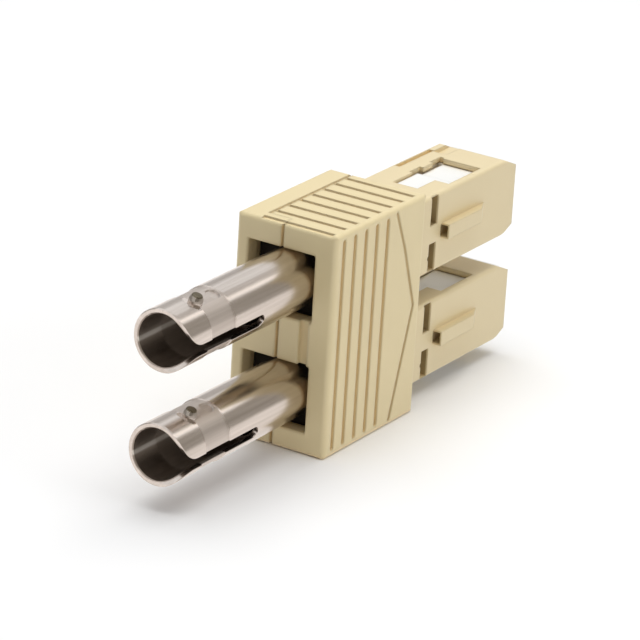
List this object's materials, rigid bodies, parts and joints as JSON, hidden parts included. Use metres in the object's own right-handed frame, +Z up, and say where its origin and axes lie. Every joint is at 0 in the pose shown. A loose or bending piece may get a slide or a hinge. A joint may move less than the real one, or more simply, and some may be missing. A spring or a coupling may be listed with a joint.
{
  "type": "st to sc fibre adapter",
  "caption": "Fibre optic adapter that joins bayonet sockets at one end to push-pull plugs at the other through a ribbed plastic housing.",
  "frame": {"origin": "centre of the base, halfway along the whole length", "axes": "+Z up, +Y from the bayonet barrels towards the push-pull plugs, +X towards the side with the key ribs"},
  "size_m": [0.0126, 0.0638, 0.0256],
  "materials": {
    "beige_plastic": "satin moulded",
    "plated_barrel": "nickel plated",
    "holder_plastic": "matt",
    "ceramic": "polished",
    "spring_steel": "drawn wire",
    "collar_metal": "turned",
    "white_plastic": "gloss moulded"
  },
  "bodies": {
    "housing": {"housing_left": "beige_plastic", "housing_right": "beige_plastic", "upper_plug_sleeve": "beige_plastic", "lower_plug_sleeve": "beige_plastic"},
    "upper_core": {"upper_barrel": "plated_barrel", "upper_sleeve_holder": "holder_plastic", "upper_split_sleeve": "ceramic", "upper_spring_seat": "holder_plastic", "upper_spring": "spring_steel", "upper_plug_frame": "white_plastic"},
    "lower_core": {"lower_barrel": "plated_barrel", "lower_sleeve_holder": "holder_plastic", "lower_split_sleeve": "ceramic", "lower_spring_seat": "holder_plastic", "lower_spring": "spring_steel", "lower_plug_frame": "white_plastic"},
    "upper_ferrule_set": {"upper_ferrule": "ceramic", "upper_ferrule_collar": "collar_metal"},
    "lower_ferrule_set": {"lower_ferrule": "ceramic", "lower_ferrule_collar": "collar_metal"}
  },
  "joints": [
    {"name": "upper_core_slide", "type": "slide", "parent": "housing", "child": "upper_core", "axis": [0, 1, 0], "range_m": [0, 0.0015]},
    {"name": "lower_core_slide", "type": "slide", "parent": "housing", "child": "lower_core", "axis": [0, 1, 0], "range_m": [0, 0.0015]},
    {"name": "upper_ferrule_slide", "type": "slide", "parent": "upper_core", "child": "upper_ferrule_set", "axis": [0, -1, 0], "range_m": [0, 0.001], "stiffness_N_per_m": 900, "springref_m": -0.006, "deforming": ["upper_spring"]},
    {"name": "lower_ferrule_slide", "type": "slide", "parent": "lower_core", "child": "lower_ferrule_set", "axis": [0, -1, 0], "range_m": [0, 0.001], "stiffness_N_per_m": 900, "springref_m": -0.006, "deforming": ["lower_spring"]}
  ]
}
